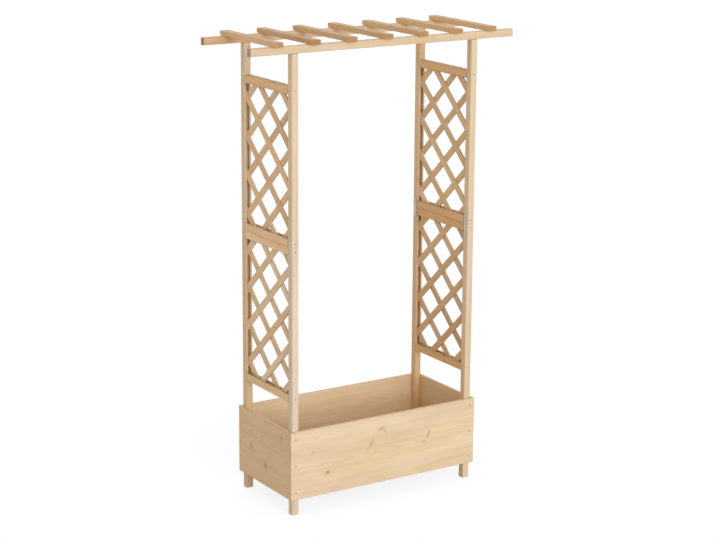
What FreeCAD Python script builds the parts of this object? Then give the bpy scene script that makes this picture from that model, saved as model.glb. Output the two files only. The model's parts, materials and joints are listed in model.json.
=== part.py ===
"""Wooden planter box with two trellis sides and a slatted pergola top.

Frame: X runs along the box, Y from front (-) to rear (+), Z up.
The origin is on the ground, in the middle of the footprint. Millimetres.
Every timber, plate and set of screws is a separate solid in its own file.
"""
import FreeCAD
import Part
import math
import os

Vec = FreeCAD.Vector

# ---------------------------------------------------------------- driving dimensions
# Planter box
BOX_LENGTH = 840.0
BOX_DEPTH = 400.0
BOX_BOTTOM = 64.0
BOX_TOP = 332.0
BOARD = 12.0

# Corner posts, spliced where the two trellis panels of a side meet
POST = 28.0
SPLICE_Z = 1038.0
POST_TOP = 1754.0

# Trellis panels
PANEL_HEIGHT = 596.0
RAIL_HEIGHT = 30.0
GROOVE_WIDTH = 12.6
GROOVE_DEPTH = 8.0
LATH_WIDTH = 26.0
LATH_THICK = 6.0
DIAMOND_HEIGHT = 148.0
DIAMONDS_ACROSS = 2
UPPER_FIRST_CROSSING = 53.0
LOWER_FIRST_CROSSING = 49.0

# Pergola
BEAM_LENGTH = 1150.0
BEAM_HEIGHT = 28.0
BEAM_THICK = 24.0
SLAT_COUNT = 7
SLAT_PITCH = 156.0
SLAT_WIDTH = 38.0
SLAT_HEIGHT = 18.0
SLAT_LENGTH = 400.0

# Floor of the box
CLEAT = 20.0
CLEAT_BOTTOM = 72.0
FLOOR_BOARD = 12.0
FLOOR_COUNT = 6
FLOOR_GAP = 6.0
FLOOR_CLEARANCE = 1.0

# Splice plates
PLATE_HEIGHT = 80.0
PLATE_WIDTH = 20.0
PLATE_THICK = 2.0
PLATE_SCREW_LEVELS = (-34.0, -24.0, 24.0, 34.0)
PLATE_ROUND = 2.0

# Softened edges of the planed timber
POST_ROUND = 2.0
BOARD_ROUND = 1.5
RAIL_ROUND = 1.2
SLAT_ROUND = 2.0
LATH_ROUND = 0.8

# Countersunk screws: head diameter, shank diameter, head height
SCREW_HEAD = 8.0
SCREW_SHANK = 4.0
SCREW_HEAD_HEIGHT = 2.6
PLATE_SCREW_HEAD = 6.0
PLATE_SCREW_SHANK = 3.0
PLATE_SCREW_HEAD_HEIGHT = 2.0
RECESS_DEPTH = 1.2
RECESS_WIDTH = 1.0
RECESS_SHARE = 0.5
BOARD_SCREW_LENGTH = 34.0
RAIL_SCREW_LENGTH = 60.0
BEAM_SCREW_LENGTH = 80.0
SLAT_SCREW_LENGTH = 38.0
CLEAT_SCREW_LENGTH = 26.0
FLOOR_SCREW_LENGTH = 26.0
PLATE_SCREW_LENGTH = 14.0

# Where the screws of the box sit
PANEL_SCREW_INSET = 28.0
PANEL_SCREW_OUTWARD = 5.0
SIDE_SCREW_INWARD = 4.0
SIDE_SCREW_RAISE = 12.0
CLEAT_SCREW_COUNT = 4

# Shortest lath that is worth fixing in a corner of the trellis
SHORTEST_LATH = 44.0

# How far a cut reaches past a face, and how well an edge lines up with its axis
OVERCUT = 1.0
ALIGNED = 0.999

# ---------------------------------------------------------------- derived places
BOX_X = BOX_LENGTH / 2
BOX_Y = BOX_DEPTH / 2
BOX_MIDDLE = (BOX_BOTTOM + BOX_TOP) / 2
INSIDE_X = BOX_X - BOARD
INSIDE_Y = BOX_Y - BOARD
POST_X = INSIDE_X - POST / 2
POST_Y = INSIDE_Y - POST / 2
BAY_X = INSIDE_X - POST
BAY_Y = INSIDE_Y - POST
BEAM_TOP = POST_TOP + BEAM_HEIGHT
FLOOR_BOTTOM = CLEAT_BOTTOM + CLEAT
PANEL_BASE = {"lower": SPLICE_Z - PANEL_HEIGHT, "upper": SPLICE_Z}
FIRST_CROSSING = {"lower": LOWER_FIRST_CROSSING, "upper": UPPER_FIRST_CROSSING}
SIDES = {"left": -1, "right": 1}
ENDS = {"front": -1, "rear": 1}

screws = {}
holes = {}
parts = {}


# ---------------------------------------------------------------- helpers
def block(low, high):
    """A plain box between two opposite corners."""
    size = [b - a for a, b in zip(low, high)]
    return Part.makeBox(*size, Vec(*low))


def edges_along(shape, axis):
    """The straight edges of a shape that run along one axis."""
    return [e for e in shape.Edges if abs(e.tangentAt(e.FirstParameter)[axis]) > ALIGNED]


def timber(low, high, radius, axis):
    """A planed timber: a box whose four long edges, along one axis, are rounded."""
    shape = block(low, high)
    return shape.makeFillet(radius, edges_along(shape, axis))


def screw_solid(length, head, shank, head_height, recess):
    """A countersunk screw that points down, with its head's top face at z = 0."""
    profile = [
        Vec(0, 0, 0),
        Vec(head / 2, 0, 0),
        Vec(shank / 2, 0, -head_height),
        Vec(shank / 2, 0, -length + shank),
        Vec(0, 0, -length),
    ]
    outline = Part.makePolygon(profile + [profile[0]])
    solid = Part.Face(outline).revolve(Vec(0, 0, 0), Vec(0, 0, 1), 360)
    if not recess:
        return solid
    arm = head * RECESS_SHARE
    for size_x, size_y in ((arm, RECESS_WIDTH), (RECESS_WIDTH, arm)):
        slot = block((-size_x / 2, -size_y / 2, -RECESS_DEPTH), (size_x / 2, size_y / 2, OVERCUT))
        solid = solid.cut(slot)
    return solid


def place(solid, head_point, direction):
    """Turns a solid that points down so that it points along a direction from a point."""
    turn = FreeCAD.Rotation(Vec(0, 0, -1), Vec(*direction))
    placed = solid.copy()
    placed.Placement = FreeCAD.Placement(Vec(*head_point), turn)
    return placed


def add_screw(group, head_point, direction, length, through, small=False):
    """Adds one screw to a group and marks its hole in every timber that it passes through."""
    head = PLATE_SCREW_HEAD if small else SCREW_HEAD
    shank = PLATE_SCREW_SHANK if small else SCREW_SHANK
    head_height = PLATE_SCREW_HEAD_HEIGHT if small else SCREW_HEAD_HEIGHT
    screw = place(screw_solid(length, head, shank, head_height, True), head_point, direction)
    hole = place(screw_solid(length, head, shank, head_height, False), head_point, direction)
    screws.setdefault(group, []).append(screw)
    for node in through:
        holes.setdefault(node, []).append(hole)


def span(centre, half):
    """Both ends of a stretch, from its centre and half its width."""
    return centre - half, centre + half


# ---------------------------------------------------------------- corner posts
def corner_posts():
    """Each corner has a lower post, whose foot is the leg, and an upper post above the splice."""
    for side, sx in SIDES.items():
        for end, sy in ENDS.items():
            x0, x1 = span(sx * POST_X, POST / 2)
            y0, y1 = span(sy * POST_Y, POST / 2)
            for level, z0, z1 in (("lower", 0.0, SPLICE_Z), ("upper", SPLICE_Z, POST_TOP)):
                post = timber((x0, y0, z0), (x1, y1, z1), POST_ROUND, 2)
                parts[f"{side}_{end}_{level}_post"] = post.cut(post_groove(sx, sy, level))


def post_groove(sx, sy, level):
    """The stopped groove in a post's inner face that takes the ends of the laths."""
    base = PANEL_BASE[level]
    z0 = base + RAIL_HEIGHT - GROOVE_DEPTH
    z1 = base + PANEL_HEIGHT - RAIL_HEIGHT + GROOVE_DEPTH
    x0, x1 = span(sx * POST_X, GROOVE_WIDTH / 2)
    y0, y1 = sorted((sy * (BAY_Y - OVERCUT), sy * (BAY_Y + GROOVE_DEPTH)))
    return block((x0, y0, z0), (x1, y1, z1))


# ---------------------------------------------------------------- planter box
def box_panels():
    """Four panels outside the posts; the long ones cover the ends of the short ones."""
    for end, sy in ENDS.items():
        y0, y1 = sorted((sy * INSIDE_Y, sy * BOX_Y))
        parts[f"{end}_panel"] = timber((-BOX_X, y0, BOX_BOTTOM), (BOX_X, y1, BOX_TOP), BOARD_ROUND, 0)
    for side, sx in SIDES.items():
        x0, x1 = sorted((sx * INSIDE_X, sx * BOX_X))
        panel = timber((x0, -INSIDE_Y, BOX_BOTTOM), (x1, INSIDE_Y, BOX_TOP), BOARD_ROUND, 1)
        parts[f"{side}_panel"] = panel
    screw_levels = (BOX_BOTTOM + PANEL_SCREW_INSET, BOX_MIDDLE, BOX_TOP - PANEL_SCREW_INSET)
    for side, sx in SIDES.items():
        for end, sy in ENDS.items():
            post = f"{side}_{end}_lower_post"
            for level in screw_levels:
                front = (sx * (POST_X + PANEL_SCREW_OUTWARD), sy * BOX_Y, level)
                add_screw("panel_screws", front, (0, -sy, 0), BOARD_SCREW_LENGTH, (f"{end}_panel", post))
                flank = (sx * BOX_X, sy * (POST_Y - SIDE_SCREW_INWARD), level + SIDE_SCREW_RAISE)
                add_screw("panel_screws", flank, (-sx, 0, 0), BOARD_SCREW_LENGTH, (f"{side}_panel", post))


def box_floor():
    """Two cleats inside the long panels carry the floor boards, which leave drainage gaps."""
    for end, sy in ENDS.items():
        y0, y1 = sorted((sy * INSIDE_Y, sy * (INSIDE_Y - CLEAT)))
        cleat = timber((-BAY_X, y0, CLEAT_BOTTOM), (BAY_X, y1, FLOOR_BOTTOM), RAIL_ROUND, 0)
        parts[f"{end}_floor_cleat"] = cleat
        for index in range(CLEAT_SCREW_COUNT):
            share = (2 * index + 1) / CLEAT_SCREW_COUNT - 1
            head = (share * BAY_X, sy * (INSIDE_Y - CLEAT), CLEAT_BOTTOM + CLEAT / 2)
            through = (f"{end}_floor_cleat", f"{end}_panel")
            add_screw("cleat_screws", head, (0, sy, 0), CLEAT_SCREW_LENGTH, through)
    width = (2 * INSIDE_X - (FLOOR_COUNT - 1) * FLOOR_GAP) / FLOOR_COUNT
    z0, z1 = FLOOR_BOTTOM, FLOOR_BOTTOM + FLOOR_BOARD
    for index in range(FLOOR_COUNT):
        name = f"floor_board_{index + 1}"
        x0 = -INSIDE_X + index * (width + FLOOR_GAP)
        low = (x0, -INSIDE_Y + FLOOR_CLEARANCE, z0)
        high = (x0 + width, INSIDE_Y - FLOOR_CLEARANCE, z1)
        board = timber(low, high, BOARD_ROUND, 1)
        for notch in post_notches(z0, z1):
            board = board.cut(notch)
        parts[name] = board
        screw_x = x0 + width / 2
        for end, sy in ENDS.items():
            head = (screw_x, sy * (INSIDE_Y - CLEAT / 2), z1)
            add_screw("floor_screws", head, (0, 0, -1), FLOOR_SCREW_LENGTH, (name, f"{end}_floor_cleat"))


def post_notches(z0, z1):
    """Clearance round the four posts for the end boards of the floor."""
    room = POST / 2 + FLOOR_CLEARANCE
    for sx in SIDES.values():
        for sy in ENDS.values():
            centre_x, centre_y = sx * POST_X, sy * POST_Y
            low = (centre_x - room, centre_y - room, z0 - OVERCUT)
            high = (centre_x + room, centre_y + room, z1 + OVERCUT)
            yield block(low, high)


# ---------------------------------------------------------------- trellis sides
def trellis_panel(side, level):
    """Top and bottom rail between the posts, with two crossing layers of laths in their grooves."""
    sx = SIDES[side]
    base = PANEL_BASE[level]
    x0, x1 = span(sx * POST_X, POST / 2)
    groove_x0, groove_x1 = span(sx * POST_X, GROOVE_WIDTH / 2)
    inner_low = base + RAIL_HEIGHT
    inner_high = base + PANEL_HEIGHT - RAIL_HEIGHT
    rails = {
        "bottom": (base, inner_low, inner_low - GROOVE_DEPTH, inner_low + OVERCUT),
        "top": (inner_high, base + PANEL_HEIGHT, inner_high - OVERCUT, inner_high + GROOVE_DEPTH),
    }
    for which, (z0, z1, groove_z0, groove_z1) in rails.items():
        rail = timber((x0, -BAY_Y, z0), (x1, BAY_Y, z1), RAIL_ROUND, 1)
        groove_low = (groove_x0, -BAY_Y - OVERCUT, groove_z0)
        groove_high = (groove_x1, BAY_Y + OVERCUT, groove_z1)
        name = f"{side}_{level}_{which}_rail"
        parts[name] = rail.cut(block(groove_low, groove_high))
        for end, sy in ENDS.items():
            head = (sx * POST_X, sy * INSIDE_Y, (z0 + z1) / 2)
            through = (f"{side}_{end}_{level}_post", name)
            add_screw("rail_screws", head, (0, -sy, 0), RAIL_SCREW_LENGTH, through)
    window = block(
        (x0, -BAY_Y - GROOVE_DEPTH, inner_low - GROOVE_DEPTH),
        (x1, BAY_Y + GROOVE_DEPTH, inner_high + GROOVE_DEPTH),
    )
    crossing = inner_high - FIRST_CROSSING[level]
    rising_x = sx * POST_X - (LATH_THICK if level == "upper" else 0.0)
    falling_x = sx * POST_X - (LATH_THICK if level == "lower" else 0.0)
    parts[f"{side}_{level}_rising_laths"] = lath_layer(rising_x, 1, crossing, window)
    parts[f"{side}_{level}_falling_laths"] = lath_layer(falling_x, -1, crossing, window)


def lath_layer(x_low, slope, crossing, window):
    """One layer of parallel laths that rise (1) or fall (-1) towards the rear, cut off in the grooves.

    Each upper panel has its rising layer on the -X side, and each lower panel its falling one.
    """
    half_width = BAY_Y / DIAMONDS_ACROSS
    angle = math.atan2(slope * DIAMOND_HEIGHT / 2, half_width)
    reach = PANEL_HEIGHT
    most_steps = math.ceil(PANEL_HEIGHT / DIAMOND_HEIGHT) + DIAMONDS_ACROSS
    laths = []
    for step in range(-most_steps, most_steps + 1):
        low = (x_low, -reach, -LATH_WIDTH / 2)
        high = (x_low + LATH_THICK, reach, LATH_WIDTH / 2)
        lath = timber(low, high, LATH_ROUND, 1)
        lath.rotate(Vec(0, 0, 0), Vec(1, 0, 0), math.degrees(angle))
        lath.translate(Vec(0, 0, crossing + step * DIAMOND_HEIGHT))
        cut = lath.common(window)
        if cut.Solids and cut.Volume > LATH_THICK * LATH_WIDTH * SHORTEST_LATH:
            laths.append(cut.Solids[0])
    return Part.makeCompound(laths)


# ---------------------------------------------------------------- splice plates
def splice_plates():
    """A flat steel plate across each splice, on the post's face towards the middle of the box."""
    for side, sx in SIDES.items():
        for end, sy in ENDS.items():
            name = f"{side}_{end}_splice_plate"
            face = sx * BAY_X
            x0, x1 = sorted((face, face - sx * PLATE_THICK))
            y0, y1 = span(sy * POST_Y, PLATE_WIDTH / 2)
            z0, z1 = span(SPLICE_Z, PLATE_HEIGHT / 2)
            plate = block((x0, y0, z0), (x1, y1, z1))
            parts[name] = plate.makeFillet(PLATE_ROUND, edges_along(plate, 0))
            for level in PLATE_SCREW_LEVELS:
                half = "upper" if level > 0 else "lower"
                head = (face - sx * PLATE_THICK, sy * POST_Y, SPLICE_Z + level)
                through = (name, f"{side}_{end}_{half}_post")
                add_screw("plate_screws", head, (sx, 0, 0), PLATE_SCREW_LENGTH, through, small=True)


# ---------------------------------------------------------------- pergola
def pergola():
    """A beam lies on each pair of posts, and the slats lie across both beams."""
    for end, sy in ENDS.items():
        y0, y1 = span(sy * POST_Y, BEAM_THICK / 2)
        low = (-BEAM_LENGTH / 2, y0, POST_TOP)
        high = (BEAM_LENGTH / 2, y1, BEAM_TOP)
        parts[f"{end}_beam"] = timber(low, high, POST_ROUND, 0)
        for side, sx in SIDES.items():
            head = (sx * POST_X, sy * POST_Y, BEAM_TOP)
            through = (f"{end}_beam", f"{side}_{end}_upper_post")
            add_screw("beam_screws", head, (0, 0, -1), BEAM_SCREW_LENGTH, through)
    for index in range(SLAT_COUNT):
        name = f"top_slat_{index + 1}"
        centre = (index - (SLAT_COUNT - 1) / 2) * SLAT_PITCH
        x0, x1 = span(centre, SLAT_WIDTH / 2)
        low = (x0, -SLAT_LENGTH / 2, BEAM_TOP)
        high = (x1, SLAT_LENGTH / 2, BEAM_TOP + SLAT_HEIGHT)
        parts[name] = timber(low, high, SLAT_ROUND, 1)
        for end, sy in ENDS.items():
            head = (centre, sy * POST_Y, BEAM_TOP + SLAT_HEIGHT)
            add_screw("slat_screws", head, (0, 0, -1), SLAT_SCREW_LENGTH, (name, f"{end}_beam"))


# ---------------------------------------------------------------- build and write
corner_posts()
box_panels()
box_floor()
for side_name in SIDES:
    for level_name in PANEL_BASE:
        trellis_panel(side_name, level_name)
splice_plates()
pergola()
for node_name, node_holes in holes.items():
    parts[node_name] = parts[node_name].cut(node_holes)
for group_name, group in screws.items():
    parts[group_name] = Part.makeCompound(group)

os.makedirs("parts", exist_ok=True)
for node_name, shape in parts.items():
    shape.exportStep(f"parts/{node_name}.step")
    print(node_name, len(shape.Solids), "solids,", round(shape.Volume / 1000.0, 1), "cm3", shape.isValid())
print(len(parts), "nodes")
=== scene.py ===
import json
import math
import random

import bmesh
import bpy
from mathutils import Matrix, Vector


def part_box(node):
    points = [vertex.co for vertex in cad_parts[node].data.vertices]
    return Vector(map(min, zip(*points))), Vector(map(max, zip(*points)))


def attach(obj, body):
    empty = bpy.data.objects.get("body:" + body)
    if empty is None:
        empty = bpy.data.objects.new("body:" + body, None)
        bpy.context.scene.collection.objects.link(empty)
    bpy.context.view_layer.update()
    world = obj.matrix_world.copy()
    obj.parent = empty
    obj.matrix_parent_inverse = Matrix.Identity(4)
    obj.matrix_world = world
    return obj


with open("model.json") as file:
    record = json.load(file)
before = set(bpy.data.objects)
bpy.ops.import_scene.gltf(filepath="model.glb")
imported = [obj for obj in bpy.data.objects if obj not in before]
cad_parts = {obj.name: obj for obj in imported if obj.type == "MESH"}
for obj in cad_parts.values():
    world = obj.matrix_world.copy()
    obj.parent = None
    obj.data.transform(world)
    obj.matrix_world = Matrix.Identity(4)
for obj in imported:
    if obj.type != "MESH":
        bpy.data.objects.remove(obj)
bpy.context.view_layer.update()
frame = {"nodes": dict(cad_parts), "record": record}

# ---------------------------------------------------------------- camera and light
PHOTO_WIDTH = 716
SENSOR = 36.0
FOCAL_PIXELS = 1967.0
CAMERA_PLACE = Vector((-3.955, -6.210, 2.742))
CAMERA_AZIMUTH = math.radians(32.48)
CAMERA_DOWN = math.radians(13.87)
CAMERA_ROLL = math.radians(0.40)
CAMERA_SHIFT_PIXELS = 15
CAMERA_REACH = 100.0

# The studio's walls are lighter than its ceiling and a little warm. Its key lamp is broad, low, in front and
# cooler, and a weaker lamp behind keeps the back from looking dull.
HORIZON_STRENGTH = 0.855
ZENITH_STRENGTH = 0.36
FILL_TONE = (1.000, 0.955, 0.890, 1.0)
KEY_DIRECTION = Vector((-0.06, -0.96, 0.28))
KEY_TONE = (0.950, 1.000, 1.080)
KEY_STRENGTH = 1.43
KEY_SOFTNESS = math.radians(42)
BACK_DIRECTION = Vector((0.35, 0.90, 0.26))
BACK_TONE = (1.000, 0.985, 0.960)
BACK_STRENGTH = 0.60
BACK_SOFTNESS = math.radians(60)
FLOOR_SIZE = 60.0
FLOOR_TONE = 0.80
FLOOR_SEEN_TONE = 0.30
FLOOR_SEEN_GLOW = (0.800, 0.812, 0.828, 1.0)
WHITE = (1.0, 1.0, 1.0, 1.0)

# ---------------------------------------------------------------- wood
RING_WIDTH = 0.0027
EDGE_WIDTH = 0.0035
# Depths inside a timber's box from where painted shade begins in grooves and holes to where it is full.
INSIDE_DEPTH = (0.0010, 0.0040)
# How squarely a face looks along an axis: where it begins to count as facing it, and where it fully does.
FACING = (0.75, 0.95)

# Noises in the wood, by how often each repeats in a metre along, across and through the grain. The grain
# wanders by WANDER_REACH at most, and the rings drift by up to DRIFT_RINGS of their own widths.
WANDER_SCALE = (1.6, 9, 9)
WANDER_REACH = 0.018
DRIFT_SCALE = (0.8, 4, 4)
DRIFT_RINGS = 2.0
CLOUD_SCALE = (1.5, 15, 9)
WEAR_AND_SHADE_SCALE = (30, 90, 90)
# How far the golden clouds are moved, so that they don't follow the other noises.
CLOUD_PLACE = (17.0, 5.0, 3.0)
# Noises that move the tone between pale and deep: how often each repeats, its detail and its weight.
TONE_NOISES = {
    "broad": ((2.0, 19, 12), 2.5, 0.95),
    "patch": ((7, 30, 30), 2.0, 0.40),
    "streaks": ((2.6, 95, 95), 3.0, 0.62),
    "fibres": ((9, 760, 760), 3.0, 0.34),
}
# Groups of rings that are darker together: how often they repeat in a metre from the pith, their detail
# and their weight.
BAND_SCALE = 62.0
BAND_DETAIL = 3.0
BAND_TONE = 0.62
# A year's ring darkens slowly and ends suddenly, at these shares of its width.
RING_DARKENS = (0.35, 0.90)
RING_ENDS = (0.92, 1.0)
# Tone of clear wood, and what late wood, late wood in end grain and the surroundings of a knot add to it.
BASE_TONE = 0.31
LATE_TONE = 0.18
LATE_END_TONE = 0.34
HALO_TONE = 0.32
# From where to where the golden clouds and the spots of edge wear and of painted shade on upper faces show,
# and how much at each end.
CLOUD_RANGE = (0.42, 0.62, 0.0, 0.80)
WEAR_AND_SHADE_RANGE = (0.30, 0.70, 0.10, 0.34)
END_CAST_SHARE = 0.90
# Roughness of clear wood, and what fibres, knots and end grain add to it.
WOOD_ROUGHNESS = 0.50
FIBRE_ROUGHNESS = 0.22
CORE_ROUGHNESS = -0.14
END_ROUGHNESS = 0.14
# What fibres, late wood and knots add to the height of the surface.
FIBRE_HEIGHT = 0.65
LATE_HEIGHT = 0.35
CORE_HEIGHT = 0.30
WOOD_BUMP = {"Strength": 0.30, "Distance": 0.0006}
WOOD_SPECULAR = 0.35

# A knot, by distances in its own size: how ragged it is, its ring, core and halo, and how hard it pushes
# the grain aside.
KNOT_NOISE_SCALE = (130, 330, 40)
KNOT_RAGGED = 0.40
KNOT_RING = (0.55, 1.40, 0.48, 0.0)
KNOT_CORE = (0.15, 0.80, 0.52, 0.0)
KNOT_HALO = (0.8, 3.0, 1.0, 0.0)
KNOT_PUSH = 0.9
# Knots that are made up: the spacing that one is drawn for along each kind of board, how likely it then is,
# and how large, long, turned and dark it gets.
KNOT_SPACING = {
    "panel_wood": 0.22, "post_wood": 0.32, "beam_wood": 0.30, "slat_wood": 0.30,
    "rail_wood": 0.25, "floor_wood": 0.16,
}
KNOT_CHANCE = 0.55
KNOT_WIDTH = (0.0025, 0.0055)
KNOT_LENGTHENING = (1.0, 1.7)
KNOT_TURN = 0.4
KNOT_DEPTH = (0.25, 0.7)
# How near a made-up knot comes to a board's ends and sides, as shares of its half sizes.
KNOT_REACH_ALONG = 0.95
KNOT_REACH_ACROSS = 0.7

# How boards differ: how light and how warm they are, how far beside and how far above or below its middle
# a board's pith lies, how steeply the rings rise along it, and how far the places reach that boards are
# cut from.
LIFT = (0.965, 1.025)
WARMTH = 0.03
PITH_ACROSS = 0.05
PITH_THROUGH = (0.05, 0.11)
TAPER = (0.012, 0.035)
SEED_REACH = 40

# Two tones for each slot of the record: clear wood and its darker grain, as linear colours.
WOOD_TONES = {
    "panel_wood": ((0.855, 0.677, 0.470), (0.690, 0.490, 0.295)),
    "post_wood": ((0.840, 0.680, 0.505), (0.680, 0.490, 0.320)),
    "beam_wood": ((0.805, 0.615, 0.415), (0.635, 0.420, 0.238)),
    "slat_wood": ((0.870, 0.590, 0.330), (0.650, 0.345, 0.135)),
    "rail_wood": ((0.820, 0.530, 0.280), (0.660, 0.350, 0.135)),
    "lath_wood": ((0.840, 0.625, 0.395), (0.600, 0.380, 0.190)),
    "floor_wood": ((0.740, 0.560, 0.350), (0.560, 0.370, 0.190)),
}
# Boards and layers of laths whose colour stands apart from the rest, as factors on both tones. On the left
# panel, the left rear lower post and the left rails these factors are partly painted shade and light for how
# those faces are lit.
BOARD_TINT = {
    # Partly its own colour, partly painted shade on a side turned away from the key lamp.
    "left_panel": (0.955, 0.875, 0.785),
    "right_panel": (0.980, 0.930, 0.870),
    "rear_beam": (1.030, 0.960, 0.950),
    # Painted shade on a leg under the box.
    "left_rear_lower_post": (0.970, 0.930, 0.820),
    "left_front_lower_post": (1.005, 1.025, 1.060),
    "left_front_upper_post": (1.005, 1.025, 1.060),
    "right_front_lower_post": (1.000, 0.990, 0.970),
    "right_front_upper_post": (1.000, 0.990, 0.970),
    "right_rear_lower_post": (0.940, 0.830, 0.680),
    "right_rear_upper_post": (0.960, 0.860, 0.720),
    # Partly painted light on the sides of the left rails.
    "left_lower_bottom_rail": (1.140, 1.260, 1.440),
    "left_lower_top_rail": (1.180, 1.360, 1.720),
    "left_upper_bottom_rail": (1.170, 1.310, 1.560),
    "left_upper_top_rail": (1.130, 1.230, 1.350),
    "left_lower_rising_laths": (1.140, 1.165, 1.260),
    "left_lower_falling_laths": (1.075, 1.115, 1.180),
    "left_upper_rising_laths": (1.085, 1.020, 0.990),
    "left_upper_falling_laths": (1.115, 1.120, 1.185),
    "right_lower_rising_laths": (0.930, 0.905, 0.895),
    "right_lower_falling_laths": (1.005, 0.920, 0.815),
    "right_upper_rising_laths": (1.090, 1.095, 1.095),
    "right_upper_falling_laths": (1.070, 1.065, 1.065),
}
RIGHT_RAIL_TINT = (1.040, 1.050, 1.020)
for level_name in ("lower", "upper"):
    for place_name in ("bottom", "top"):
        BOARD_TINT[f"right_{level_name}_{place_name}_rail"] = RIGHT_RAIL_TINT
# How light each slat is, from the left.
SLAT_LIGHTNESS = (0.97, 0.88, 0.91, 0.89, 0.96, 1.05, 1.04)
for slat_index, lightness in enumerate(SLAT_LIGHTNESS, 1):
    BOARD_TINT[f"top_slat_{slat_index}"] = (lightness, lightness, lightness)
# Painted shade at one end of a board and painted light along the rest of it: where the change starts and
# ends, from the board's middle, and what is added to the depth of tone before and after it.
BOARD_PAINTED_SHADE = {"rear_beam": (-0.50, -0.30, 0.50, -0.22)}
# How much the edges of each kind of timber are darkened, by wear and on rails and slats partly by painted
# shade, how much painted shade its upper face gets, and how far its end grain stands out.
EDGE_WEAR_AND_SHADE = {"slat_wood": 2.4, "rail_wood": 2.6, "lath_wood": 1.6}
TOP_PAINTED_SHADE = {"slat_wood": 0.45, "rail_wood": 1.0}
END_SHARE = {"panel_wood": 0.25}
KNOT_BROWN = (0.330, 0.175, 0.035, 1.0)
GOLDEN_CAST = (0.995, 0.970, 0.865, 1.0)
END_CAST = (0.680, 0.580, 0.470, 1.0)
# Painted shade in grooves and holes.
INSIDE_PAINTED_SHADE = (0.620, 0.540, 0.430, 1.0)
# Brown of edge wear, also laid on upper faces of rails and slats as painted shade.
STAIN_AND_SHADE_BROWN = (0.400, 0.285, 0.180, 1.0)

# Knots and marks that the photo shows, or none where it shows clear wood: place along the grain and across
# it, half length, half width, turn, depth of tone.
PHOTO_KNOTS = {
    "front_panel": (
        (-0.258, 0.149, 0.0105, 0.0065, 0.10, 0.84),
        (-0.062, 0.227, 0.0200, 0.0068, 0.95, 0.36),
        (0.202, 0.218, 0.0200, 0.0060, 1.36, 0.40),
        (0.184, 0.194, 0.0090, 0.0050, 0.15, 0.26),
        (-0.018, 0.281, 0.0190, 0.0085, 0.15, 0.40),
        (-0.001, 0.268, 0.0130, 0.0040, -1.00, 0.44),
        (-0.324, 0.239, 0.0090, 0.0060, 0.30, 0.24),
        (-0.311, 0.292, 0.0110, 0.0060, 0.20, 0.20),
    ),
    "left_panel": (
        (-0.131, 0.291, 0.0080, 0.0120, 0.00, 0.48),
        (-0.006, 0.147, 0.0090, 0.0110, 0.15, 0.54),
        (0.102, 0.196, 0.0060, 0.0180, 0.00, 0.46),
    ),
    "left_rear_upper_post": (
        (1.723, -0.385, 0.0160, 0.0055, 0.00, 0.85),
    ),
    "left_front_lower_post": (),
    "left_front_upper_post": (),
    "right_front_lower_post": (),
    "right_front_upper_post": (),
}

# ---------------------------------------------------------------- trellis
DIAMOND_HEIGHT = 0.148
DIAMONDS_ACROSS = 2
FIRST_CROSSING = {"lower": 0.049, "upper": 0.053}
LATH_WIDTH = 0.026
LATH_CLEAR = 0.012
LATH_SPREAD = 0.45
LATH_SEED_REACH = 50
STAPLE_CROWN = 0.010
STAPLE_WIRE = 0.0011
STAPLE_PROUD = 0.0004
SHOULDER_PROUD = 0.0002
STAPLE_SHIFT = 0.002
STAPLE_TURN = 0.2
STAPLE_ROUNDING = 0.3

# ---------------------------------------------------------------- steel
# Colour, roughness, colour of the dull spots, and the scale: how often the clouds repeat in a metre.
PLATE_STEEL = ((0.560, 0.510, 0.430, 1.0), 0.40, (0.390, 0.350, 0.290, 1.0), 60.0)
SCREW_STEEL = ((0.660, 0.465, 0.285, 1.0), 0.44, (0.440, 0.300, 0.180, 1.0), 120.0)
# Clouds: how much of the colour is left in them, their detail, and from where to where their noise shows.
CLOUDED_STEEL = 0.86
CLOUDED_DETAIL = 4.0
CLOUDED_RANGE = (0.35, 0.65)
# How much finer than the clouds the scratches are along X, Y and Z, and the spots every way.
SCRATCH_STRETCH = (1.5, 40, 6)
SPOT_FINENESS = 5
SPOT_DETAIL = 3.0
SPOT_RANGE = (0.58, 0.70)
SPOT_SHARE = 0.50
# What scratches and spots each add to the roughness.
STEEL_DULLING = 0.18
STEEL_BUMP = {"Strength": 0.15, "Distance": 0.0002}


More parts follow.
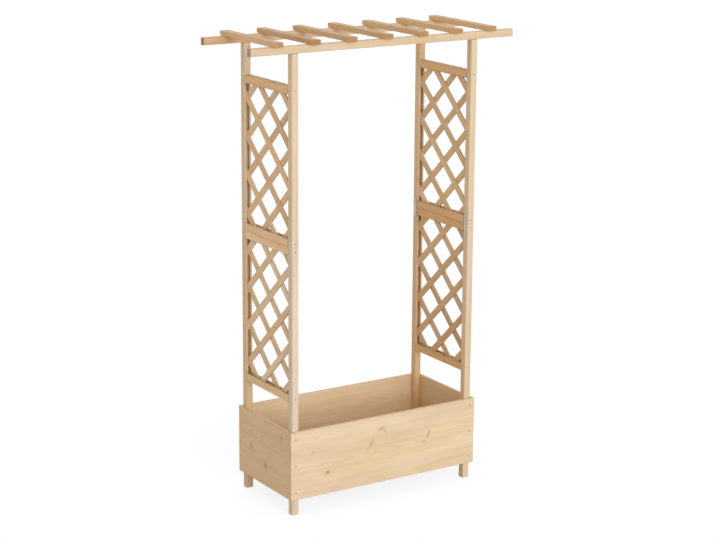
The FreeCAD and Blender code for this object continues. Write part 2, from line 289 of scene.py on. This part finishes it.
# ---------------------------------------------------------------- node helper
class Tree:
    """Adds nodes to a node tree. Most methods return the new node's output socket."""

    def __init__(self, tree):
        self.tree = tree

    def node(self, kind, values=None, **settings):
        node = self.tree.nodes.new("ShaderNode" + kind)
        for key, value in settings.items():
            setattr(node, key, value)
        for key, value in (values or {}).items():
            self.feed(node.inputs[key], value)
        return node

    def feed(self, socket, value):
        if isinstance(value, bpy.types.NodeSocket):
            self.tree.links.new(value, socket)
        else:
            socket.default_value = value

    def math(self, operation, *values):
        return self.node("Math", dict(enumerate(values)), operation=operation).outputs[0]

    def vector(self, operation, *values):
        node = self.node("VectorMath", dict(enumerate(values)), operation=operation)
        return node.outputs["Value" if operation in ("LENGTH", "DOT_PRODUCT") else "Vector"]

    def noise(self, point, stretch, detail=2.0):
        stretched = self.vector("MULTIPLY", point, stretch)
        return self.node("TexNoise", {"Vector": stretched, "Scale": 1.0, "Detail": detail}).outputs["Fac"]

    def step(self, value, low, high, start=0.0, end=1.0):
        values = {"Value": value, "From Min": low, "From Max": high, "To Min": start, "To Max": end}
        return self.node("MapRange", values, interpolation_type="SMOOTHSTEP").outputs["Result"]

    def mix(self, share, first, second, blend="MIX"):
        """Mixes two colours. Inputs 6 and 7 and output 2 are the colour sockets of a Mix node."""
        node = self.node("Mix", {0: share, 6: first, 7: second}, data_type="RGBA", blend_type=blend)
        return node.outputs[2]

    def split(self, vector):
        return self.node("SeparateXYZ", {0: vector}).outputs

    def join(self, x, y, z):
        return self.node("CombineXYZ", {0: x, 1: y, 2: z}).outputs[0]


def new_group(name, inputs, outputs):
    """A shader node group with its sockets, as (group, helper, input sockets, output node)."""
    group = bpy.data.node_groups.new(name, "ShaderNodeTree")
    for way, sockets in (("INPUT", inputs), ("OUTPUT", outputs)):
        for socket, kind in sockets.items():
            group.interface.new_socket(socket, in_out=way, socket_type="NodeSocket" + kind)
    given = group.nodes.new("NodeGroupInput").outputs
    result = group.nodes.new("NodeGroupOutput")
    return group, Tree(group), given, result


# ---------------------------------------------------------------- node groups
def knot_group():
    """One knot: its dark core, the ring of tone round it, and how far it pushes the grain aside."""
    inputs = {"Point": "Vector", "Place": "Vector", "Size": "Vector", "Turn": "Float", "Depth": "Float"}
    outputs = {"Core": "Float", "Halo": "Float", "Shift": "Float"}
    group, t, given, result = new_group("knot", inputs, outputs)
    away = t.vector("MULTIPLY", t.vector("SUBTRACT", given["Point"], given["Place"]), (1, 1, 0))
    turn = {"Vector": away, "Angle": given["Turn"]}
    turned = t.node("VectorRotate", turn, rotation_type="Z_AXIS", invert=True).outputs[0]
    ragged = t.noise(given["Point"], KNOT_NOISE_SCALE)
    distance = t.vector("LENGTH", t.vector("DIVIDE", turned, given["Size"]))
    distance = t.math("ADD", distance, t.math("MULTIPLY_ADD", ragged, 2 * KNOT_RAGGED, -KNOT_RAGGED))
    ring = t.step(distance, *KNOT_RING)
    core = t.math("ADD", ring, t.step(distance, *KNOT_CORE))
    halo = t.step(distance, *KNOT_HALO)
    t.feed(result.inputs["Core"], t.math("MULTIPLY", core, given["Depth"]))
    t.feed(result.inputs["Halo"], t.math("MULTIPLY", halo, given["Depth"]))
    flow = t.math("MAXIMUM", t.math("MULTIPLY", distance, distance), 1.0)
    push = t.math("DIVIDE", t.split(away)[1], flow)
    t.feed(result.inputs["Shift"], t.math("MULTIPLY", push, -KNOT_PUSH))
    return group


def softwood_group():
    """Planed softwood as a solid: rings round a pith, wandering grain, fibres, knots, end grain, edge wear,
    and painted shade on upper faces, in grooves and holes and along a board.

    Point is (along the grain, across the board, through it) from the timber's own centre.
    """
    inputs = {
        "Point": "Vector", "Pith": "Vector", "Taper": "Float", "Seed": "Vector", "Shift": "Float",
        "Core": "Float", "Halo": "Float", "End": "Float", "EdgeWearAndShade": "Float", "Inside": "Float",
        "Shade": "Float", "Pale": "Color", "Deep": "Color",
    }
    outputs = {"Color": "Color", "Roughness": "Float", "Height": "Float"}
    group, t, given, result = new_group("softwood", inputs, outputs)
    bent = t.vector("ADD", given["Point"], t.join(0.0, given["Shift"], 0.0))
    place = t.vector("ADD", bent, given["Seed"])

    wander = t.math("MULTIPLY_ADD", t.noise(place, WANDER_SCALE), 2 * WANDER_REACH, -WANDER_REACH)
    rise = t.math("MULTIPLY", t.split(given["Point"])[0], given["Taper"])
    from_pith = t.vector("SUBTRACT", t.vector("ADD", bent, t.join(0.0, wander, rise)), given["Pith"])
    radius = t.vector("LENGTH", t.vector("MULTIPLY", from_pith, (0, 1, 1)))
    drift = t.math("MULTIPLY", t.noise(place, DRIFT_SCALE), DRIFT_RINGS)
    phase = t.math("ADD", t.math("DIVIDE", radius, RING_WIDTH), drift)
    year = t.math("FRACT", phase)
    late = t.math("MULTIPLY", t.step(year, *RING_DARKENS), t.step(year, *RING_ENDS, 1.0, 0.0))
    seed_x = t.split(given["Seed"])[0]
    band_place = t.join(t.math("MULTIPLY_ADD", radius, BAND_SCALE, seed_x), 0.0, 0.0)
    bands = t.noise(band_place, (1, 1, 1), BAND_DETAIL)

    late_tone = t.math("MULTIPLY_ADD", given["End"], LATE_END_TONE, LATE_TONE)
    tone = t.math("MULTIPLY_ADD", late, late_tone, BASE_TONE)
    tone = t.math("MULTIPLY_ADD", t.math("SUBTRACT", bands, 0.5), BAND_TONE, tone)
    noises = {}
    for name, (scale, detail, weight) in TONE_NOISES.items():
        noises[name] = t.noise(place, scale, detail)
        tone = t.math("MULTIPLY_ADD", t.math("SUBTRACT", noises[name], 0.5), weight, tone)
    tone = t.math("ADD", t.math("MULTIPLY_ADD", given["Halo"], HALO_TONE, tone), given["Shade"])
    tone = t.node("Clamp", {0: tone}).outputs[0]
    color = t.mix(tone, given["Pale"], given["Deep"])
    cloud = t.noise(t.vector("ADD", place, CLOUD_PLACE), CLOUD_SCALE)
    color = t.mix(t.step(cloud, *CLOUD_RANGE), color, GOLDEN_CAST, "MULTIPLY")
    color = t.mix(given["Core"], color, KNOT_BROWN)
    color = t.mix(t.math("MULTIPLY", given["End"], END_CAST_SHARE), color, END_CAST, "MULTIPLY")
    # Edge wear, and painted shade on upper faces, mix towards the stain brown.
    wear_and_shade = t.math("MULTIPLY", given["EdgeWearAndShade"], t.step(t.noise(place, WEAR_AND_SHADE_SCALE), *WEAR_AND_SHADE_RANGE))
    color = t.mix(wear_and_shade, color, STAIN_AND_SHADE_BROWN)
    # Painted shade in grooves and holes.
    color = t.mix(given["Inside"], color, INSIDE_PAINTED_SHADE, "MULTIPLY")
    t.feed(result.inputs["Color"], color)

    rough = t.math("MULTIPLY_ADD", noises["fibres"], FIBRE_ROUGHNESS, WOOD_ROUGHNESS)
    rough = t.math("MULTIPLY_ADD", given["Core"], CORE_ROUGHNESS, rough)
    t.feed(result.inputs["Roughness"], t.math("MULTIPLY_ADD", given["End"], END_ROUGHNESS, rough))
    height = t.math("MULTIPLY_ADD", late, LATE_HEIGHT, t.math("MULTIPLY", noises["fibres"], FIBRE_HEIGHT))
    t.feed(result.inputs["Height"], t.math("MULTIPLY_ADD", given["Core"], CORE_HEIGHT, height))
    return group


KNOT = knot_group()
SOFTWOOD = softwood_group()


# ---------------------------------------------------------------- wood materials
def blank_tree(owner):
    """Switches a material or world to nodes, and returns a helper for its node tree, which is left empty."""
    owner.use_nodes = True
    owner.node_tree.nodes.clear()
    return Tree(owner.node_tree)


def shader(name):
    """A new material with one Principled shader, as (material, helper, shader node)."""
    material = bpy.data.materials.new(name)
    t = blank_tree(material)
    surface = t.node("BsdfPrincipled")
    output = t.node("OutputMaterial")
    t.feed(output.inputs["Surface"], surface.outputs[0])
    return material, t, surface


def second_smallest(t, a, b, c):
    """The middle one of three distances: small only where two faces of a timber meet."""
    least = t.math("MINIMUM", a, b)
    most = t.math("MAXIMUM", a, b)
    return t.math("MAXIMUM", least, t.math("MINIMUM", most, c))


def depth_masks(t, point, half):
    """How a point lies in a box of these half sizes: (1 on its edges, 1 well inside a groove or hole, where
    painted shade goes).
    """
    inward = t.split(t.vector("SUBTRACT", tuple(half), t.vector("ABSOLUTE", point)))
    edge = t.step(second_smallest(t, *inward), 0.0, EDGE_WIDTH, 1.0, 0.0)
    depth = t.math("MINIMUM", inward[0], t.math("MINIMUM", inward[1], inward[2]))
    return edge, t.step(depth, *INSIDE_DEPTH)


def either_way(rng, reach):
    """A random number up to this far from zero, on either side of it."""
    return rng.uniform(-reach, reach)


def seed_vector(rng):
    """Where in the endless solid wood a board is cut from."""
    return tuple(rng.uniform(0, SEED_REACH) for _ in range(3))


def random_knots(rng, half, spacing):
    """A few knots spread along a timber, at most one for each spacing of its length."""
    knots = []
    for _ in range(int(2 * half[0] / spacing)):
        if rng.random() < KNOT_CHANCE:
            width = rng.uniform(*KNOT_WIDTH)
            along = either_way(rng, KNOT_REACH_ALONG) * half[0]
            across = either_way(rng, KNOT_REACH_ACROSS) * half[1]
            length = width * rng.uniform(*KNOT_LENGTHENING)
            turn = either_way(rng, KNOT_TURN)
            knots.append((along, across, length, width, turn, rng.uniform(*KNOT_DEPTH)))
    return knots


def wood_surface(t, surface, point, knots, end, masks, slot, tint, rng, seed, shade):
    """Wires the softwood group into a shader, with the knots of this timber."""
    core, halo, shift = 0.0, 0.0, 0.0
    for along, across, length, width, turn, depth in knots:
        values = {
            "Point": point, "Place": (along, across, 0), "Size": (length, width, 1),
            "Turn": turn, "Depth": depth,
        }
        knot = t.node("Group", node_tree=KNOT)
        for key, value in values.items():
            t.feed(knot.inputs[key], value)
        core = t.math("MAXIMUM", core, knot.outputs["Core"])
        halo = t.math("MAXIMUM", halo, knot.outputs["Halo"])
        shift = t.math("ADD", shift, knot.outputs["Shift"])
    lift = rng.uniform(*LIFT)
    warmth = either_way(rng, WARMTH)
    factor = (lift * tint[0], lift * tint[1] * (1 - warmth), lift * tint[2] * (1 - 2 * warmth))
    pale, deep = [(*(a * b for a, b in zip(tone, factor)), 1.0) for tone in WOOD_TONES[slot]]
    wood = t.node("Group", node_tree=SOFTWOOD)
    pith = (0.0, either_way(rng, PITH_ACROSS), rng.choice((-1, 1)) * rng.uniform(*PITH_THROUGH))
    taper = rng.choice((-1, 1)) * rng.uniform(*TAPER)
    edge, inside = masks
    values = {
        "Point": point, "Pith": pith, "Taper": taper, "Seed": seed, "Shift": shift, "Core": core,
        "Halo": halo, "End": end, "EdgeWearAndShade": t.math("MULTIPLY", edge, EDGE_WEAR_AND_SHADE.get(slot, 1.0)),
        "Inside": inside, "Shade": shade, "Pale": pale, "Deep": deep,
    }
    for key, value in values.items():
        t.feed(wood.inputs[key], value)
    t.feed(surface.inputs["Base Color"], wood.outputs["Color"])
    t.feed(surface.inputs["Roughness"], wood.outputs["Roughness"])
    surface.inputs["Specular IOR Level"].default_value = WOOD_SPECULAR
    bump = t.node("Bump", {**WOOD_BUMP, "Height": wood.outputs["Height"]})
    t.feed(surface.inputs["Normal"], bump.outputs[0])


def timber_material(node, slot, knot_spacing):
    """Softwood with its grain along the timber's longest side and its own rings, knots and tone."""
    low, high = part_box(node)
    centre = (low + high) / 2
    size = high - low
    along, across, through = sorted(range(3), key=lambda axis: -round(size[axis], 4))
    half = [size[axis] / 2 for axis in (along, across, through)]
    rng = random.Random(node)
    material, t, surface = shader(node + "_wood")
    place = t.node("TexCoord").outputs["Object"]
    local = t.split(t.vector("SUBTRACT", place, tuple(centre)))
    point = t.join(local[along], local[across], local[through])
    normal = t.split(t.node("NewGeometry").outputs["True Normal"])
    end = t.step(t.math("ABSOLUTE", normal[along]), *FACING, 0.0, END_SHARE.get(slot, 1.0))
    if node in PHOTO_KNOTS:
        knots = [(u - centre[along], v - centre[across], *rest) for u, v, *rest in PHOTO_KNOTS[node]]
    else:
        knots = random_knots(rng, half, knot_spacing)
    tint = BOARD_TINT.get(node, (1, 1, 1))
    edge, inside = depth_masks(t, point, half)
    # Upper faces of rails and slats get painted shade through the same mix as edge wear.
    if slot in TOP_PAINTED_SHADE:
        edge = t.math("MAXIMUM", edge, t.step(normal[2], *FACING, 0.0, TOP_PAINTED_SHADE[slot]))
    # Painted shade at the left end of the rear beam and painted light along the rest of it.
    shade = t.step(local[along], *BOARD_PAINTED_SHADE[node]) if node in BOARD_PAINTED_SHADE else 0.0
    wood_surface(t, surface, point, knots, end, (edge, inside), slot, tint, rng, seed_vector(rng), shade)
    return material


def lath_material(node, side, level, way):
    """Softwood that follows the slanting laths of one layer, each lath with its own piece of wood."""
    slope = 1 if way == "rising" else -1
    low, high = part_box(node)
    rail_low, _rail_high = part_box(f"{side}_{level}_top_rail")
    bay_half = -rail_low.y
    crossing = rail_low.z - FIRST_CROSSING[level]
    angle = math.atan2(slope * DIAMOND_HEIGHT / 2, bay_half / DIAMONDS_ACROSS)
    pitch = DIAMOND_HEIGHT * math.cos(angle)
    rng = random.Random(node)
    material, t, surface = shader(node + "_wood")
    place = t.node("TexCoord").outputs["Object"]
    local = t.vector("SUBTRACT", place, ((low.x + high.x) / 2, 0.0, crossing))
    along = t.vector("DOT_PRODUCT", local, (0, math.cos(angle), math.sin(angle)))
    across = t.vector("DOT_PRODUCT", local, (0, -math.sin(angle), math.cos(angle)))
    index = t.math("ROUND", t.math("DIVIDE", across, pitch))
    across = t.math("SUBTRACT", across, t.math("MULTIPLY", index, pitch))
    through = t.split(local)[0]
    point = t.join(along, across, through)
    number = t.math("ADD", index, rng.uniform(0, LATH_SEED_REACH))
    own = t.node("TexWhiteNoise", {"W": number}, noise_dimensions="1D")
    seed = t.vector("MULTIPLY", own.outputs["Color"], (SEED_REACH, SEED_REACH, SEED_REACH))
    lath_half = (high.z - low.z, LATH_WIDTH / 2, (high.x - low.x) / 2)
    edge, _inside = depth_masks(t, point, lath_half)
    shade = t.math("MULTIPLY_ADD", own.outputs["Value"], LATH_SPREAD, -LATH_SPREAD / 2)
    tint = BOARD_TINT[node]
    wood_surface(t, surface, point, (), 0.0, (edge, 0.0), "lath_wood", tint, rng, seed, shade)
    return material


# ---------------------------------------------------------------- metal materials
def steel_material(name, color, roughness, spot_color, scale):
    """Plated steel with cloudy plating, fine scratches and a few dull spots."""
    material, t, surface = shader(name)
    place = t.node("TexCoord").outputs["Object"]
    cloud = t.noise(place, (scale, scale, scale), CLOUDED_DETAIL)
    scratch = t.noise(place, tuple(scale * stretch for stretch in SCRATCH_STRETCH))
    fine = scale * SPOT_FINENESS
    spots = t.step(t.noise(place, (fine, fine, fine), SPOT_DETAIL), *SPOT_RANGE)
    clouded = (*(part * CLOUDED_STEEL for part in color[:3]), 1.0)
    tone = t.mix(t.step(cloud, *CLOUDED_RANGE), color, clouded)
    tone = t.mix(t.math("MULTIPLY", spots, SPOT_SHARE), tone, spot_color)
    t.feed(surface.inputs["Base Color"], tone)
    rough = t.math("MULTIPLY_ADD", scratch, STEEL_DULLING, roughness)
    t.feed(surface.inputs["Roughness"], t.math("MULTIPLY_ADD", spots, STEEL_DULLING, rough))
    surface.inputs["Metallic"].default_value = 1.0
    bump = t.node("Bump", {**STEEL_BUMP, "Height": scratch})
    t.feed(surface.inputs["Normal"], bump.outputs[0])
    return material


# ---------------------------------------------------------------- staples of the trellis
def staple(mesh, place, angle, out):
    """One flat wire crown, slightly proud of the lath, with its two bent shoulders going in.

    place is where its middle lies on the laths' face, and out is the way along X that this face looks.
    """
    along = Vector((0, math.cos(angle), math.sin(angle)))
    across = Vector((0, -math.sin(angle), math.cos(angle)))
    outward = Vector((out, 0, 0))
    turn = Matrix((along, across, outward)).transposed().to_4x4()
    crown = (0.0, STAPLE_CROWN, STAPLE_PROUD)
    shoulders = [(way * STAPLE_CROWN / 2, STAPLE_WIRE, SHOULDER_PROUD) for way in (-1, 1)]
    for offset, length, proud in (crown, *shoulders):
        middle = place + along * offset + outward * (proud - STAPLE_WIRE / 2)
        size = Matrix.Diagonal((length, STAPLE_WIRE, STAPLE_WIRE, 1.0))
        bmesh.ops.create_cube(mesh, size=1.0, matrix=Matrix.Translation(middle) @ turn @ size)


def trellis_staples(side, level):
    """Staples on the face towards the middle of the arch, one at each crossing clear of the frame."""
    out = 1 if side == "left" else -1
    boxes = [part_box(f"{side}_{level}_{way}_laths") for way in ("rising", "falling")]
    face = max(high.x for _low, high in boxes) if out > 0 else min(low.x for low, _high in boxes)
    rail_low, _rail_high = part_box(f"{side}_{level}_top_rail")
    _floor_low, floor_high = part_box(f"{side}_{level}_bottom_rail")
    column = -rail_low.y / DIAMONDS_ACROSS
    angle = math.atan2(DIAMOND_HEIGHT / 2, column)
    rng = random.Random(side + level)
    mesh = bmesh.new()
    rows = math.ceil((rail_low.z - floor_high.z) / DIAMOND_HEIGHT * 2)
    for row in range(-1, rows):
        height = rail_low.z - FIRST_CROSSING[level] - row * DIAMOND_HEIGHT / 2
        inside = floor_high.z + LATH_CLEAR < height < rail_low.z - LATH_CLEAR
        for step in (-1, 0, 1):
            if (row + step) % 2 or not inside:
                continue
            shift = Vector((0, either_way(rng, STAPLE_SHIFT), either_way(rng, STAPLE_SHIFT)))
            place = Vector((face, step * column, height)) + shift
            staple(mesh, place, angle + either_way(rng, STAPLE_TURN), out)
    data = bpy.data.meshes.new(f"{side}_{level}_staples")
    mesh.to_mesh(data)
    mesh.free()
    piece = bpy.data.objects.new(data.name, data)
    bpy.context.scene.collection.objects.link(piece)
    bevel = piece.modifiers.new("soft", "BEVEL")
    bevel.width = STAPLE_WIRE * STAPLE_ROUNDING
    bevel.segments = 2
    return piece


# ---------------------------------------------------------------- dressing the nodes
def dress(node, material):
    """Puts one material on every slot of a node."""
    data = frame["nodes"][node].data
    data.materials.clear()
    data.materials.append(material)


slots = {part["node"]: part["material_slot"] for part in frame["record"]["subparts"]}
zinc = steel_material("zinc", *PLATE_STEEL)
screw_steel = steel_material("screw_steel", *SCREW_STEEL)
for node_name, slot_name in slots.items():
    if slot_name == "zinc_plate":
        dress(node_name, zinc)
    elif slot_name == "screw_steel":
        dress(node_name, screw_steel)
    elif slot_name == "lath_wood":
        side_name, level_name, way_name, _kind = node_name.split("_")
        dress(node_name, lath_material(node_name, side_name, level_name, way_name))
    else:
        dress(node_name, timber_material(node_name, slot_name, KNOT_SPACING[slot_name]))

for side_name in ("left", "right"):
    for level_name in ("lower", "upper"):
        staples = trellis_staples(side_name, level_name)
        staples.data.materials.append(zinc)
        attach(staples, "root")


# ---------------------------------------------------------------- floor, light and camera
def seen_directly(t):
    """1 for rays from the camera or off a mirror or glass, which see the background as white."""
    path = t.node("LightPath").outputs
    glossy = t.math("MAXIMUM", path["Is Camera Ray"], path["Is Glossy Ray"])
    return t.math("MAXIMUM", glossy, path["Is Transmission Ray"])


def pale_floor():
    """A wide matt floor that keeps the object's shadow and is seen as nearly white."""
    data = bpy.data.meshes.new("floor")
    half = FLOOR_SIZE / 2
    corners = [(-half, -half, 0), (half, -half, 0), (half, half, 0), (-half, half, 0)]
    data.from_pydata(corners, [], [(0, 1, 2, 3)])
    floor = bpy.data.objects.new("floor", data)
    bpy.context.scene.collection.objects.link(floor)
    material = bpy.data.materials.new("floor")
    t = blank_tree(material)
    seen = seen_directly(t)
    tone = t.math("MULTIPLY_ADD", seen, FLOOR_SEEN_TONE - FLOOR_TONE, FLOOR_TONE)
    matt = t.node("BsdfDiffuse", {"Color": tone})
    glow = t.node("Emission", {"Color": FLOOR_SEEN_GLOW, "Strength": seen})
    both = t.node("AddShader", {0: matt.outputs[0], 1: glow.outputs[0]})
    t.feed(t.node("OutputMaterial").inputs["Surface"], both.outputs[0])
    data.materials.append(material)


def soft_walls():
    """Light from all round, strongest at the horizon, which the camera sees as white."""
    world = bpy.data.worlds.new("studio")
    t = blank_tree(world)
    height = t.split(t.node("TexCoord").outputs["Generated"])[2]
    upward = t.node("Clamp", {0: height}).outputs[0]
    dimmed = t.math("MULTIPLY_ADD", upward, ZENITH_STRENGTH - HORIZON_STRENGTH, HORIZON_STRENGTH)
    seen = seen_directly(t)
    strength = t.math("MAXIMUM", seen, dimmed)
    sky = t.node("Background", {"Color": t.mix(seen, FILL_TONE, WHITE), "Strength": strength})
    t.feed(t.node("OutputWorld").inputs["Surface"], sky.outputs[0])
    bpy.context.scene.world = world


def soft_lamp(name, direction, tone, strength, softness):
    """A broad lamp far away in one direction, as seen from the object."""
    data = bpy.data.lights.new(name, "SUN")
    data.color = tone
    data.energy = strength
    data.angle = softness
    lamp = bpy.data.objects.new(name, data)
    lamp.rotation_mode = "QUATERNION"
    lamp.rotation_quaternion = direction.to_track_quat("Z", "Y")
    bpy.context.scene.collection.objects.link(lamp)


def photo_camera():
    """The photo's viewing angle: a long lens from the front left, looking slightly down."""
    data = bpy.data.cameras.new("camera")
    data.sensor_width = SENSOR
    data.lens = FOCAL_PIXELS * SENSOR / PHOTO_WIDTH
    data.shift_y = -CAMERA_SHIFT_PIXELS / PHOTO_WIDTH
    data.clip_end = CAMERA_REACH
    forward = Vector((
        math.sin(CAMERA_AZIMUTH) * math.cos(CAMERA_DOWN),
        math.cos(CAMERA_AZIMUTH) * math.cos(CAMERA_DOWN),
        -math.sin(CAMERA_DOWN),
    ))
    level = Vector((math.cos(CAMERA_AZIMUTH), -math.sin(CAMERA_AZIMUTH), 0.0))
    upward = level.cross(forward)
    right = level * math.cos(CAMERA_ROLL) + upward * math.sin(CAMERA_ROLL)
    top = right.cross(forward)
    camera = bpy.data.objects.new("camera", data)
    turn = Matrix((right, top, -forward)).transposed().to_4x4()
    camera.matrix_world = Matrix.Translation(CAMERA_PLACE) @ turn
    bpy.context.scene.collection.objects.link(camera)
    bpy.context.scene.camera = camera


pale_floor()
soft_walls()
soft_lamp("key", KEY_DIRECTION, KEY_TONE, KEY_STRENGTH, KEY_SOFTNESS)
soft_lamp("back", BACK_DIRECTION, BACK_TONE, BACK_STRENGTH, BACK_SOFTNESS)
photo_camera()
bpy.context.scene.view_settings.view_transform = "Standard"
